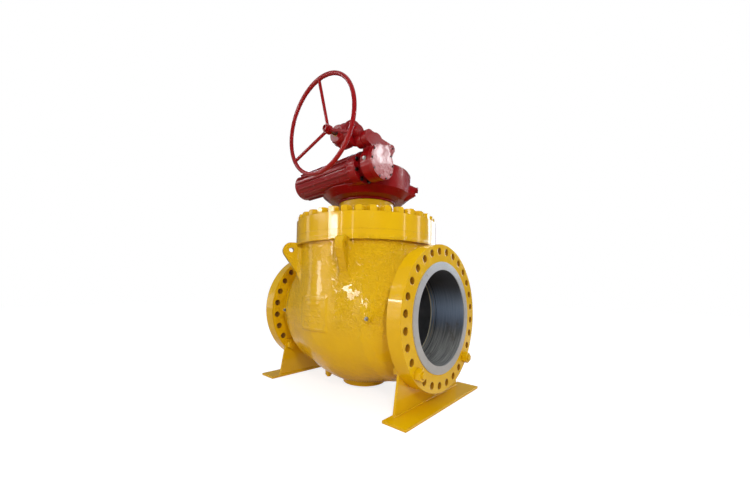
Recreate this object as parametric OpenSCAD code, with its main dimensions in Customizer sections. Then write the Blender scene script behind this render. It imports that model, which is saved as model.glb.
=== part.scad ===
// Top-entry, trunnion-mounted ball valve, full bore, flanged ends, with a worm gear operator,
// a spur reduction, a bevel input and a handwheel. Lengths are in millimetres.
// Origin: centre of the ball. X runs along the pipe, Z runs up the stem. The ball is drawn open.

/* [Body] */
// Radius of the flow bore
bore_r = 367.5; // [362:0.5:370]
// Distance from the ball centre to each raised face
face_x = 825.5; // [820:0.5:840]
// Outer radius of the end flanges
flange_r = 565.15; // [560:0.5:575]
// Thickness of the end flanges, without the raised face
flange_t = 114.3; // [100:0.1:120]
// Height of the raised face
raised_t = 6.4; // [2:0.1:8]
// Outer radius of the raised face
raised_r = 428.625; // [425:0.1:440]
// Radius of the flange bolt circle
flange_pcr = 511.2; // [505:0.1:514]
// Number of bolt holes in each end flange
flange_bolts = 28; // [28:1:28]
// Radius of each flange bolt hole
flange_hole_r = 27; // [25:0.5:28]
// Outer radius of the upright barrel
barrel_r = 620; // [612:1:630]
// Height of the joint between the body and the bonnet
seam_z = 668; // [660:1:676]
// Outer radius of the body's top flange and the bonnet
bonnet_r = 655; // [650:1:665]

/* [Bonnet] */
// Height of the bonnet's top surface
bonnet_top = 804; // [790:1:810]
// Number of bonnet studs
bonnet_bolts = 36; // [30:1:36]
// Radius of the bonnet stud circle
bonnet_pcr = 603; // [600:1:605]
// Radius of each bonnet stud
bonnet_stud_r = 27; // [24:0.5:27]
// Width across the flats of the bonnet nuts
bonnet_nut_af = 85; // [80:1:86]

/* [Ball] */
// Radius of the ball
ball_r = 530; // [528:0.5:532]
// Height of the ball's top and bottom flats
ball_flat = 480; // [475:1:485]

/* [Gear operator] */
// Sideways distance from the stem to the worm
worm_y = -350; // [-350:1:-350]
// Height of the worm and of the middle of the worm wheel
worm_z = 1207; // [1200:1:1212]
// Teeth on the worm wheel
wheel_teeth = 60; // [60:1:60]
// Outer radius of the gear case
case_r = 424; // [415:1:430]
// Height of the gear case's top rim
case_top = 1270; // [1265:1:1280]
// Sideways position of the bevel output shaft
first_y = -520; // [-521:1:-519]
// Height of the bevel output shaft and of the handwheel shaft
first_z = 1421; // [1420:1:1422]
// Position along the pipe of the handwheel shaft
hand_x = 219; // [215:1:222]

/* [Handwheel] */
// Radius to the middle of the rim tube
rim_r = 361; // [340:1:380]
// Radius of the rim tube
rim_tube_r = 16; // [10:1:18]
// Radius of each spoke
spoke_r = 12; // [8:0.5:14]
// Position of the rim's plane
rim_y = -772; // [-790:1:-760]
// Position of the middle of the hub, closer to the valve than the rim
hub_y = -692; // [-694:1:-688]

/* [Supports] */
// Height of the feet's undersides
feet_z = -665; // [-675:1:-662]
// Length of each foot plate across the pipe
foot_l = 1120; // [1000:10:1200]
// Width of each foot plate along the pipe
foot_w = 190; // [150:5:200]

/* [Hidden] */
cavity_r = 545;
flange_in = face_x - raised_t - flange_t;
flange_out = face_x - raised_t;
hub_r = 430;
pocket_r = 442;
pocket_x = 498;
seat_x = 495;
boss_bottom = -612;
foot_plate = 18;
foot_web = 18;
support_stud_r = 24;
lug_turn = 62.5;
lug_r = 704;
lug_z = 540;
lug_t = 64;
fitting_x = 512;
fitting_y = 540;
pad_half = 150;
pad_z0 = -127;
pad_h = 264;
pad_t = 11;
run = 0.05;
// hairline gap under the heads of screws and nuts
seat_gap = 0.02;
bonnet_step = 360 / bonnet_bolts;
bonnet_turn = 7;
stem_r = 95;
stem_top_r = 85;
adapter_top = 1008;
wheel_r = 290;
worm_pitch = 2 * PI * wheel_r / wheel_teeth;
worm_tip = 69;
worm_root = 48.5;
gear_m = 5;
teeth_main = 42;
teeth_idler = 20;
teeth_pinion = 14;
main_r = gear_m * teeth_main / 2;
idler_r = gear_m * teeth_idler / 2;
pinion_r = gear_m * teeth_pinion / 2;
first_m = 4;
teeth_first = 12;
teeth_second = 22;
first_r = first_m * teeth_first / 2;
second_r = first_m * teeth_second / 2;
// the second shaft lies below and inboard of the first
second_y = first_y + (first_r + second_r) * cos(43);
second_z = first_z - (first_r + second_r) * sin(43);
// the idler sits where both centre distances are right
reach_a = main_r + idler_r;
reach_b = idler_r + pinion_r;
span_y = second_y - worm_y;
span_z = second_z - worm_z;
span = sqrt(span_y * span_y + span_z * span_z);
along = (reach_a * reach_a - reach_b * reach_b + span * span) / (2 * span);
across = sqrt(reach_a * reach_a - along * along);
idler_y = worm_y + (along * span_y + across * span_z) / span;
idler_z = worm_z + (along * span_z - across * span_y) / span;
spur_back = 342;
spur_mid = 366;
spur_front = 446;
cover_plate = 12;
cover_face = 484;
cover_r = 138;
cover_pcr = 128;
cover_first = 19;
lobe_y = -192;
lobe_z = 1376;
pair_x0 = 358;
pair_x1 = 382;
gear_x0 = 392;
gear_x1 = 432;
barrel_end = -507;
bevel_teeth = 20;
bevel_end = 138;
port_y = -610;
drum_z = 1427;
bevel_d = 52;
cast_yellow = [0.85, 0.62, 0.08];
cast_red = [0.55, 0.1, 0.1];
steel = [0.6, 0.6, 0.62];
bronze = [0.7, 0.52, 0.3];
polymer = [0.9, 0.9, 0.85];
rubber = [0.08, 0.08, 0.08];

module along_x(x, y = 0, z = 0) {
    translate([x, y, z]) rotate([0, 90, 0]) children();
}

module along_y(x, y, z) {
    translate([x, y, z]) rotate([-90, 0, 0]) children();
}

module ring(outer, inner, h) {
    difference() {
        cylinder(r = outer, h = h, $fn = 96);
        translate([0, 0, -1]) cylinder(r = inner, h = h + 2, $fn = 96);
    }
}

module hex_prism(af, h) {
    cylinder(r = af / sqrt(3), h = h, $fn = 6);
}

module hex_nut(af, bore, h) {
    difference() {
        intersection() {
            hex_prism(af, h);
            translate([0, 0, -h])
                cylinder(r1 = af / sqrt(3) + 1.5 * h, r2 = af * 0.5, h = 2 * h, $fn = 48);
        }
        translate([0, 0, -1]) cylinder(r = bore, h = h + 2, $fn = 48);
    }
}

module socket_screw(r, length, head_r, head_h) {
    translate([0, 0, -length]) cylinder(r = r, h = length + 2 * seat_gap, $fn = 32);
    translate([0, 0, seat_gap]) difference() {
        cylinder(r = head_r, h = head_h, $fn = 32);
        translate([0, 0, head_h * 0.4]) hex_prism(head_r * 0.95, head_h);
    }
}

module hex_bolt(r, length, af, head_h) {
    translate([0, 0, -length]) cylinder(r = r, h = length + 2 * seat_gap, $fn = 32);
    translate([0, 0, seat_gap]) hex_prism(af, head_h);
}

// 2D spur gear with straight-sided teeth, turned so that one tooth points at angle phase
module gear_2d(teeth, pitch_r, add, ded, thick, phase = 0) {
    p = 2 * PI * pitch_r / teeth;
    union() {
        circle(r = pitch_r - ded, $fn = 96);
        for (i = [0 : teeth - 1])
            rotate(phase + i * 360 / teeth)
                polygon([[pitch_r - ded - 2, -p * (thick + 0.12) / 2],
                    [pitch_r + add, -p * (thick - 0.12) / 2],
                    [pitch_r + add, p * (thick - 0.12) / 2],
                    [pitch_r - ded - 2, p * (thick + 0.12) / 2]]);
    }
}

// flat outline that joins two round bosses
module link_2d(ya, za, ra, yb, zb, rb) {
    d = sqrt((yb - ya) * (yb - ya) + (zb - za) * (zb - za));
    a = atan2(yb - ya, za - zb);
    translate([-za, ya]) rotate(a) polygon([[0, -ra], [d, -rb], [d, rb], [0, ra]]);
}

module disc_2d(y, z, r) {
    translate([-z, y]) circle(r = r, $fn = 96);
}

function line_phase(n_a, phase_a, n_b, dir) =
    dir + 180 - (360 / n_b) * (0.5 - n_a * (dir - phase_a) / 360);

dir_mi = atan2(idler_y - worm_y, worm_z - idler_z);
dir_ip = atan2(second_y - idler_y, idler_z - second_z);
dir_sf = atan2(first_y - second_y, second_z - first_z);
phase_main = dir_mi;
phase_idler = line_phase(teeth_main, phase_main, teeth_idler, dir_mi);
phase_pinion = line_phase(teeth_idler, phase_idler, teeth_pinion, dir_ip);
phase_first = line_phase(teeth_second, dir_sf, teeth_first, dir_sf);

// ---- pressure body ----

module flange_end() {
    along_x(flange_in) cylinder(r = flange_r, h = flange_t, $fn = 180);
    along_x(flange_out - 0.01) cylinder(r = raised_r, h = raised_t + 0.01, $fn = 180);
    along_x(0) cylinder(r = 552, h = 455, $fn = 180);
    along_x(455) cylinder(r1 = 552, r2 = 528, h = 65, $fn = 180);
    along_x(520) cylinder(r1 = 528, r2 = hub_r, h = 120, $fn = 180);
    along_x(640) cylinder(r = hub_r, h = flange_in - 640 + 1, $fn = 180);
}

module flange_holes() {
    for (i = [0 : flange_bolts - 1])
        rotate([(i + 0.5) * 360 / flange_bolts, 0, 0])
            translate([0, 0, flange_pcr]) along_x(flange_in - 20)
                cylinder(r = flange_hole_r, h = flange_t + 60, $fn = 32);
}

// lifting lug: a plate that stands out from the barrel, with a round eye
module lug(a) {
    rotate(a) difference() {
        union() {
            translate([lug_r + 1, lug_t / 2, lug_z - 5]) rotate([90, 0, 0])
                cylinder(r = 70, h = lug_t, $fn = 64);
            translate([0, lug_t / 2, 0]) rotate([90, 0, 0]) linear_extrude(lug_t)
                polygon([[540, lug_z + 65], [lug_r + 1, lug_z + 65], [lug_r + 58, lug_z - 45.5],
                    [620, lug_z - 245], [540, lug_z - 245]]);
        }
        translate([lug_r, lug_t / 2 + 8, lug_z]) rotate([90, 0, 0])
            cylinder(r = 20, h = lug_t + 16, $fn = 48);
        cylinder(r = 560, h = 900, $fn = 64);
    }
}

// curved pad on the handwheel side that carries the rating plate
module plate_pad() {
    intersection() {
        translate([-pad_half, -700, pad_z0]) cube([2 * pad_half, 160, pad_h]);
        translate([0, 0, pad_z0 - 1]) cylinder(r = barrel_r + pad_t, h = pad_h + 2, $fn = 180);
    }
}

module body() {
    color(cast_yellow) difference() {
        union() {
            translate([0, 0, -20]) sphere(r = barrel_r, $fn = 180);
            translate([0, 0, -20]) cylinder(r = barrel_r, h = seam_z - 60, $fn = 180);
            translate([0, 0, seam_z - 80]) cylinder(r = bonnet_r, h = 80, $fn = 180);
            translate([0, 0, boss_bottom]) cylinder(r = 195, h = 120, $fn = 96);
            flange_end();
            mirror([1, 0, 0]) flange_end();
            for (a = [-lug_turn, lug_turn - 180, lug_turn, 180 - lug_turn]) lug(a);
            plate_pad();
            rotate(-130) translate([332, 0, -590]) cylinder(r = 30, h = 80, $fn = 48);
            for (sx = [-1, 1]) for (sy = [-1, 1])
                along_y(sx * fitting_x, sy < 0 ? -fitting_y : fitting_y - 40, 0)
                    cylinder(r = 24, h = 40, $fn = 48);
        }
        translate([0, 0, boss_bottom - 60]) cylinder(r = 260, h = 60, $fn = 96);
        sphere(r = cavity_r, $fn = 180);
        cylinder(r = cavity_r, h = seam_z + 1, $fn = 180);
        along_x(-face_x - 1) cylinder(r = bore_r, h = 2 * face_x + 2, $fn = 180);
        along_x(-pocket_x) cylinder(r = pocket_r, h = 2 * pocket_x, $fn = 180);
        translate([0, 0, boss_bottom - 1]) cylinder(r = 150, h = 200, $fn = 96);
        flange_holes();
        mirror([1, 0, 0]) flange_holes();
        for (i = [0 : bonnet_bolts - 1])
            rotate(bonnet_turn + i * bonnet_step) translate([bonnet_pcr, 0, seam_z - 70])
                cylinder(r = bonnet_stud_r, h = 80, $fn = 32);
        for (i = [0 : 7])
            rotate(22.5 + i * 45) translate([174, 0, boss_bottom - 1])
                cylinder(r = 9, h = 41, $fn = 24);
        rotate(-130) translate([332, 0, -591]) cylinder(r = 12, h = 120, $fn = 32);
        for (sx = [-1, 1]) for (sy = [-1, 1])
            along_y(sx * fitting_x, sy < 0 ? -fitting_y - 1 : fitting_y - 35, 0)
                cylinder(r = 9, h = 36, $fn = 32);
    }
}

module bonnet() {
    color(cast_yellow) difference() {
        union() {
            translate([0, 0, seam_z]) cylinder(r = bonnet_r, h = bonnet_top - seam_z, $fn = 180);
            translate([0, 0, 560]) cylinder(r = cavity_r - run, h = 109, $fn = 180);
            translate([0, 0, 490]) cylinder(r = 225, h = 90, $fn = 96);
        }
        translate([0, 0, 400]) cylinder(r = stem_r + run, h = 500, $fn = 96);
        translate([0, 0, 489]) cylinder(r = 175, h = 81, $fn = 96);
        translate([0, 0, 569]) cylinder(r = 130, h = 36, $fn = 96);
        translate([0, 0, 740]) cylinder(r = 120, h = 100, $fn = 96);
        translate([0, 0, 610]) ring(560, 531, 12);
        for (i = [0 : bonnet_bolts - 1])
            rotate(bonnet_turn + i * bonnet_step) translate([bonnet_pcr, 0, seam_z - 1])
                cylinder(r = bonnet_stud_r + 2, h = 200, $fn = 32);
        for (i = [0 : 11])
            rotate(i * 30) translate([215, 0, bonnet_top - 50]) cylinder(r = 15, h = 60, $fn = 32);
        for (i = [0 : 5])
            rotate(i * 60) translate([140, 0, bonnet_top - 30]) cylinder(r = 8, h = 40, $fn = 24);
    }
}

module bonnet_gasket() {
    color(rubber) translate([0, 0, 610]) ring(cavity_r, 531, 12);
}

module bonnet_studs() {
    color(cast_yellow) for (i = [0 : bonnet_bolts - 1])
        rotate(bonnet_turn + i * bonnet_step) translate([bonnet_pcr, 0, seam_z - 70])
            cylinder(r = bonnet_stud_r, h = bonnet_top - seam_z + 70 + 50, $fn = 32);
}

module bonnet_nuts() {
    color(cast_yellow) for (i = [0 : bonnet_bolts - 1])
        rotate(bonnet_turn + i * bonnet_step) translate([bonnet_pcr, 0, bonnet_top + seat_gap])
            rotate(30) hex_nut(bonnet_nut_af, bonnet_stud_r + seat_gap, 48);
}

// ---- feet ----

module support() {
    difference() {
        union() {
            translate([767 - foot_w / 2, -foot_l / 2, feet_z]) cube([foot_w, foot_l, foot_plate]);
            translate([flange_in, 0, 0]) rotate([90, 0, -90]) linear_extrude(foot_web)
                polygon([[-468, feet_z + 9], [468, feet_z + 9], [418, -390], [408, -310],
                    [-408, -310], [-418, -390]]);
        }
        along_x(600) cylinder(r = hub_r + 6, h = 200, $fn = 180);
        for (s = [-1, 1])
            along_x(600, s * flange_pcr * sin(45), -flange_pcr * cos(45))
                cylinder(r = flange_hole_r, h = 200, $fn = 32);
    }
}

module front_support() {
    color(cast_yellow) support();
}

module rear_support() {
    color(cast_yellow) mirror([1, 0, 0]) support();
}

module support_studs() {
    color(cast_yellow) for (m = [0, 1]) mirror([m, 0, 0]) for (s = [-1, 1])
        along_x(flange_in - foot_web - 52, s * flange_pcr * sin(45), -flange_pcr * cos(45))
            cylinder(r = support_stud_r, h = flange_t + foot_web + 108, $fn = 32);
}

module support_nuts() {
    color(cast_yellow) for (m = [0, 1]) mirror([m, 0, 0]) for (s = [-1, 1]) {
        along_x(flange_out + seat_gap, s * flange_pcr * sin(45), -flange_pcr * cos(45))
            hex_nut(80, support_stud_r + seat_gap, 44);
        along_x(flange_in - foot_web - seat_gap, s * flange_pcr * sin(45), -flange_pcr * cos(45))
            mirror([0, 0, 1]) hex_nut(80, support_stud_r + seat_gap, 44);
    }
}

// ---- small fittings ----

module sealant_fittings() {
    color(steel) for (sx = [-1, 1]) for (sy = [-1, 1]) scale([1, -sy, 1]) {
        along_y(sx * fitting_x, -fitting_y, 0) mirror([0, 0, 1]) hex_prism(28, 12);
        along_y(sx * fitting_x, -fitting_y - 24, 0) cylinder(r = 8, h = 13, $fn = 32);
        along_y(sx * fitting_x, -fitting_y - 0.01, 0) cylinder(r = 9, h = 30, $fn = 32);
    }
}

module drain_plug() {
    color(cast_yellow) rotate(-130) translate([332, 0, -590]) {
        cylinder(r = 12, h = 60, $fn = 32);
        mirror([0, 0, 1]) hex_prism(34, 16);
    }
}

// ---- lower trunnion ----

module lower_trunnion() {
    color(cast_yellow) difference() {
        union() {
            translate([0, 0, boss_bottom - 38]) cylinder(r = 195, h = 38, $fn = 96);
            translate([0, 0, boss_bottom - 1]) cylinder(r = 149.95, h = -500 - boss_bottom + 1, $fn = 96);
            translate([0, 0, -501]) cylinder(r = 95, h = 106, $fn = 96);
        }
        for (i = [0 : 7]) rotate(22.5 + i * 45) {
            translate([174, 0, boss_bottom - 39]) cylinder(r = 10, h = 50, $fn = 24);
            translate([174, 0, boss_bottom - 39]) cylinder(r = 16, h = 13, $fn = 24);
        }
    }
}

module trunnion_screws() {
    color(steel) for (i = [0 : 7])
        rotate(22.5 + i * 45) translate([174, 0, boss_bottom - 26]) mirror([0, 0, 1])
            socket_screw(9, 60, 15, 11);
}

module lower_thrust_washer() {
    color(bronze) translate([0, 0, -500]) ring(145, 97, 20);
}

module lower_bearing() {
    color(bronze) translate([0, 0, -480]) ring(115, 95.05, 84);
}

module upper_bearing() {
    color(bronze) translate([0, 0, 492]) ring(175, 160.05, 76);
}

// ---- ball and stem ----

module ball() {
    color(steel) difference() {
        union() {
            intersection() {
                sphere(r = ball_r, $fn = 180);
                translate([-600, -600, -ball_flat]) cube([1200, 1200, 2 * ball_flat]);
            }
            translate([0, 0, ball_flat - 1]) cylinder(r = 160, h = 86, $fn = 96);
        }
        along_x(-600) cylinder(r = bore_r, h = 1200, $fn = 180);
        translate([0, 0, 400]) cylinder(r = stem_r, h = 200, $fn = 96);
        translate([0, 0, -500]) cylinder(r = 115, h = 112, $fn = 96);
        translate([-125, -20, 430]) cube([250, 40, 200]);
    }
}

module stem() {
    color(steel) difference() {
        union() {
            translate([0, 0, 400]) cylinder(r = stem_r, h = 640, $fn = 96);
            translate([0, 0, 572]) cylinder(r = 120, h = 28, $fn = 96);
            translate([0, 0, 1039]) cylinder(r = stem_top_r, h = 271, $fn = 96);
        }
        for (s = [-1, 1])
            translate([s * 100 - 35, -20, 430]) cube([70, 40, 130]);
        translate([60, -20, 1090]) cube([60, 40, 300]);
    }
}

module stem_keys() {
    color(steel) for (s = [-1, 1])
        translate([s > 0 ? 65 : -125, -20, 430]) cube([60, 40, 130]);
}

module stem_thrust_ring() {
    color(bronze) translate([0, 0, 600]) ring(128, 96, 5);
}

module stem_packing() {
    color(rubber) for (i = [0 : 2])
        translate([0, 0, 740 + i * 13]) ring(120, stem_r + run, 13);
}

module packing_gland() {
    color(steel) difference() {
        union() {
            translate([0, 0, 779]) cylinder(r = 119.95, h = 26, $fn = 96);
            translate([0, 0, bonnet_top]) cylinder(r = 158, h = 18, $fn = 96);
        }
        translate([0, 0, 700]) cylinder(r = stem_r + run, h = 200, $fn = 96);
        for (i = [0 : 5])
            rotate(i * 60) translate([140, 0, 790]) cylinder(r = 9, h = 60, $fn = 24);
    }
}

module gland_screws() {
    color(steel) for (i = [0 : 5])
        rotate(i * 60) translate([140, 0, bonnet_top + 18]) socket_screw(8, 46, 13, 14);
}

// ---- seats ----

module seat_ring() {
    difference() {
        along_x(340) difference() {
            ring(pocket_r - run, bore_r, seat_x - 340);
            translate([0, 0, -1]) ring(404, 388, 33);
            for (i = [0 : 9])
                rotate(i * 36) translate([0, 415, seat_x - 340 - 22])
                    cylinder(r = 9.5, h = 40, $fn = 32);
        }
        sphere(r = ball_r + 1, $fn = 180);
    }
}

module seat_insert() {
    difference() {
        along_x(340) ring(404, 388, 32);
        sphere(r = ball_r + run, $fn = 180);
    }
}

// one set of coil springs in the seat ring's pockets
module seat_springs() {
    for (i = [0 : 9])
        rotate([i * 36, 0, 0]) translate([seat_x - 22, 415, 0]) rotate([0, 90, 0])
            linear_extrude(height = 25, twist = -1080, slices = 27)
                translate([6.5, 0]) circle(r = 2, $fn = 6);
}

module front_seat_ring() {
    color(steel) seat_ring();
}

module front_seat_insert() {
    color(polymer) seat_insert();
}

module front_seat_springs() {
    color(steel) seat_springs();
}

module rear_seat_ring() {
    color(steel) mirror([1, 0, 0]) seat_ring();
}

module rear_seat_insert() {
    color(polymer) mirror([1, 0, 0]) seat_insert();
}

module rear_seat_springs() {
    color(steel) mirror([1, 0, 0]) seat_springs();
}

// ---- gear operator ----

module gear_adapter() {
    color(cast_yellow) difference() {
        translate([0, 0, bonnet_top]) cylinder(r = 266, h = adapter_top - bonnet_top, $fn = 120);
        translate([0, 0, bonnet_top - 1]) cylinder(r = 165, h = 300, $fn = 96);
        for (i = [0 : 11]) rotate(i * 30) {
            translate([215, 0, bonnet_top - 1]) cylinder(r = 16, h = 300, $fn = 32);
            translate([215, 0, bonnet_top + 60]) cylinder(r = 25, h = 300, $fn = 32);
        }
        for (i = [0 : 11])
            rotate(15 + i * 30) translate([215, 0, adapter_top - 50]) cylinder(r = 12, h = 60, $fn = 32);
    }
}

module adapter_screws() {
    color(steel) for (i = [0 : 11])
        rotate(i * 30) translate([215, 0, bonnet_top + 60]) socket_screw(15, 108, 23, 26);
}

module case_ribs() {
    for (a = [-75 : 25 : 100])
        along_x(barrel_end + 30, worm_y, worm_z) rotate(-90 + a) translate([110, -8, 0])
            cube([23, 16, 195 - barrel_end]);
}

// the cover bolts, left out where the worm barrel rises through the cover
module cover_bolt_places(z) {
    for (i = [0 : 15])
        if (i < 10 || i > 14)
            rotate(11.25 + i * 22.5) translate([380, 0, z]) children();
}

module gear_case() {
    color(cast_red) difference() {
        union() {
            translate([0, 0, adapter_top]) cylinder(r = 280, h = 14, $fn = 120);
            translate([0, 0, adapter_top + 13.9]) cylinder(r1 = 280, r2 = 360, h = 16.1, $fn = 120);
            translate([0, 0, adapter_top + 30]) cylinder(r1 = 360, r2 = case_r, h = 50, $fn = 120);
            translate([0, 0, adapter_top + 80])
                cylinder(r = case_r, h = case_top - adapter_top - 80, $fn = 120);
            along_x(barrel_end, worm_y, worm_z) cylinder(r = 121, h = 280 - barrel_end, $fn = 96);
            along_x(200, worm_y, worm_z) cylinder(r = 131, h = 80, $fn = 96);
            case_ribs();
            translate([-330, worm_y, 1100]) cube([600, 200, 160]);
            for (a = [30, 150]) rotate(a) translate([0, 0, 1126]) along_x(370)
                cylinder(r1 = 92, r2 = 40, h = 104, $fn = 64);
        }
        translate([0, 0, 1000]) cylinder(r = 150, h = 400, $fn = 96);
        translate([0, 0, 1120]) cylinder(r = 312, h = 200, $fn = 120);
        along_x(-700, worm_y, worm_z) cylinder(r = 84, h = 1100, $fn = 96);
        for (a = [30, 150]) rotate(a) translate([0, 0, 1140]) along_x(200)
            cylinder(r = 16, h = 300, $fn = 32);
        for (i = [0 : 11]) rotate(15 + i * 30) {
            translate([215, 0, 1000]) cylinder(r = 13, h = 60, $fn = 32);
            translate([215, 0, 1040]) cylinder(r = 21, h = 200, $fn = 32);
        }
        along_x(280, worm_y, worm_z) cylinder(r = 132, h = 200, $fn = 96);
        along_x(spur_mid - 1, worm_y, worm_z) cylinder(r = 158, h = 100, $fn = 96);
        cover_bolt_places(case_top - 40) cylinder(r = 8, h = 60, $fn = 24);
        for (i = [0 : 5])
            along_x(barrel_end - 1, worm_y, worm_z) rotate(i * 60) translate([104, 0, 0])
                cylinder(r = 6, h = 30, $fn = 24);
        for (i = [0 : 7])
            along_x(250, worm_y, worm_z) rotate(i * 45 + 22.5) translate([112, 0, 0])
                cylinder(r = 9, h = 40, $fn = 24);
    }
}

module gear_case_screws() {
    color(steel) for (i = [0 : 11])
        rotate(15 + i * 30) translate([215, 0, 1040]) socket_screw(12, 80, 19, 20);
}

module gear_case_cover() {
    color(cast_red) difference() {
        union() {
            translate([0, 0, case_top]) cylinder(r = 410, h = 22, $fn = 120);
            translate([0, 0, case_top + 21.9]) cylinder(r1 = 215, r2 = 190, h = 30.1, $fn = 96);
        }
        translate([0, 0, case_top - 1]) cylinder(r = 150, h = 100, $fn = 96);
        cover_bolt_places(case_top - 1) cylinder(r = 9, h = 60, $fn = 24);
        along_x(-500, worm_y, worm_z) cylinder(r = 122, h = 701, $fn = 96);
        along_x(199, worm_y, worm_z) cylinder(r = 133, h = 300, $fn = 96);
    }
}

module gear_cover_screws() {
    color(cast_red) cover_bolt_places(case_top + 22) hex_bolt(8, 50, 26, 10);
}

module worm_wheel() {
    color(bronze) difference() {
        union() {
            translate([0, 0, worm_z - 35]) linear_extrude(70)
                gear_2d(wheel_teeth, wheel_r, 9.5, 11, 0.4, -87);
            translate([0, 0, 1060]) cylinder(r = 140, h = 255, $fn = 96);
            rotate(45) translate([150, -35, 1125]) cube([100, 70, 60]);
        }
        translate([0, 0, 1000]) cylinder(r = stem_top_r, h = 400, $fn = 96);
        translate([60, -20, 1000]) cube([60, 40, 400]);
    }
}

module wheel_key() {
    color(steel) translate([60, -20, 1090]) cube([60, 40, 215]);
}

module wheel_bushings() {
    color(bronze) {
        translate([0, 0, 1060]) ring(150, 140.05, 58);
        translate([0, 0, case_top]) ring(150, 140.05, 44);
    }
}

module position_indicator() {
    color(cast_red) {
        translate([0, 0, 1315]) cylinder(r = 120, h = 20, $fn = 96);
        translate([0, -9, 1323]) cube([180, 18, 12]);
        translate([0, 0, 1334.9]) cylinder(r1 = 100, r2 = 80, h = 14, $fn = 96);
    }
}

module travel_stop_pins() {
    color(steel) for (a = [30, 150]) rotate(a) translate([0, 0, 1140]) {
        along_x(225) cylinder(r = 16, h = 250, $fn = 32);
        along_x(474 + seat_gap) hex_prism(48, 22);
    }
}

module worm_shaft() {
    color(steel) {
        along_x(barrel_end - 3, worm_y, worm_z) cylinder(r = 40, h = 343 - barrel_end, $fn = 64);
        along_x(-200, worm_y, worm_z) cylinder(r = worm_root, h = 400, $fn = 64);
        along_x(339, worm_y, worm_z) cylinder(r = 30, h = 121, $fn = 64);
        along_x(-3.5 * worm_pitch, worm_y, worm_z)
            linear_extrude(height = 7 * worm_pitch, twist = -2520, slices = 126) union() {
                circle(r = 46, $fn = 18);
                rotate(90 - 180) rotate(-63) polygon([[0, 0], for (a = [0 : 14 : 126])
                    [worm_tip * cos(a), worm_tip * sin(a)]]);
            }
    }
}

module worm_bearings() {
    color(steel) {
        along_x(barrel_end + 2, worm_y, worm_z) ring(84, 40.05, 42);
        along_x(236, worm_y, worm_z) ring(84, 40.05, 42);
    }
}

module worm_end_cap() {
    color(cast_red) difference() {
        union() {
            along_x(barrel_end - 12, worm_y, worm_z) cylinder(r = 121, h = 12, $fn = 96);
            along_x(barrel_end - 22, worm_y, worm_z) cylinder(r1 = 78, r2 = 90, h = 10.01, $fn = 96);
        }
        along_x(barrel_end - 6, worm_y, worm_z) cylinder(r = 60, h = 30, $fn = 64);
        for (i = [0 : 5])
            along_x(barrel_end - 20, worm_y, worm_z) rotate(i * 60) translate([104, 0, 0])
                cylinder(r = 7, h = 50, $fn = 24);
    }
}

module end_cap_screws() {
    color(cast_red) for (i = [0 : 5])
        along_x(barrel_end - 12, worm_y, worm_z) rotate(i * 60) translate([104, 0, 0]) mirror([0, 0, 1])
            hex_bolt(6, 34, 18, 8);
}

module main_spur_gear() {
    color(steel) along_x(gear_x0, worm_y, worm_z) difference() {
        linear_extrude(gear_x1 - gear_x0) gear_2d(teeth_main, main_r, 4, 6, 0.38, phase_main);
        translate([0, 0, -1]) cylinder(r = 30, h = 100, $fn = 64);
    }
}

// room for the three spur gears, seen along the pipe
module spur_room(grow) {
    disc_2d(worm_y, worm_z, 122 + grow);
    disc_2d(idler_y, idler_z, 62 + grow);
    disc_2d(second_y, second_z, 41 + grow);
    link_2d(worm_y, worm_z, 100 + grow, idler_y, idler_z, 55 + grow);
    link_2d(idler_y, idler_z, 55 + grow, second_y, second_z, 38 + grow);
}

module spur_outline(grow) {
    spur_room(grow);
    disc_2d(lobe_y, lobe_z, 20 + grow);
    link_2d(second_y, second_z, 26 + grow, lobe_y, lobe_z, 14 + grow);
    link_2d(worm_y, worm_z, 90 + grow, lobe_y, lobe_z, 16 + grow);
}

// the cover screws stand in a circle, left out where the idler is in the way
module cover_screw_places(x) {
    for (i = [0, 1, 2, 3, 6, 7, 8, 9])
        along_x(x, worm_y, worm_z) rotate(cover_first + i * 36) translate([cover_pcr, 0, 0]) children();
    along_x(x, lobe_y, lobe_z) children();
}

module spur_case() {
    color(cast_red) difference() {
        union() {
            along_x(spur_mid) linear_extrude(spur_front - spur_mid) spur_outline(14);
            along_x(spur_back, second_y, second_z) cylinder(r = 62, h = 60, $fn = 96);
            along_x(spur_back, first_y, first_z) cylinder(r = 44, h = 54, $fn = 96);
            along_x(280, worm_y, worm_z) cylinder(r = 86, h = 100, $fn = 96);
            along_x(280, worm_y, worm_z) cylinder(r = 131, h = 14, $fn = 96);
        }
        along_x(gear_x0 - 6) linear_extrude(spur_front - gear_x0 + 20) spur_room(0);
        along_x(354, second_y, second_z) cylinder(r = 50, h = 60, $fn = 96);
        along_x(354, first_y, first_z) cylinder(r = 30, h = 32, $fn = 96);
        along_x(270, worm_y, worm_z) cylinder(r = 60, h = 300, $fn = 96);
        along_x(346, second_y, second_z) cylinder(r = 22, h = 20, $fn = 64);
        along_x(300, first_y, first_z) cylinder(r = 22, h = 60, $fn = 64);
        along_x(372, idler_y, idler_z) cylinder(r = 18, h = 30, $fn = 48);
        for (i = [0 : 7])
            along_x(270, worm_y, worm_z) rotate(i * 45 + 22.5) translate([112, 0, 0])
                cylinder(r = 10, h = 30, $fn = 24);
        cover_screw_places(416) cylinder(r = 5, h = 40, $fn = 24);
    }
}

module spur_case_bolts() {
    color(steel) for (i = [0 : 7])
        along_x(294, worm_y, worm_z) rotate(i * 45 + 22.5) translate([112, 0, 0]) hex_bolt(9, 42, 30, 14);
}

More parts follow.
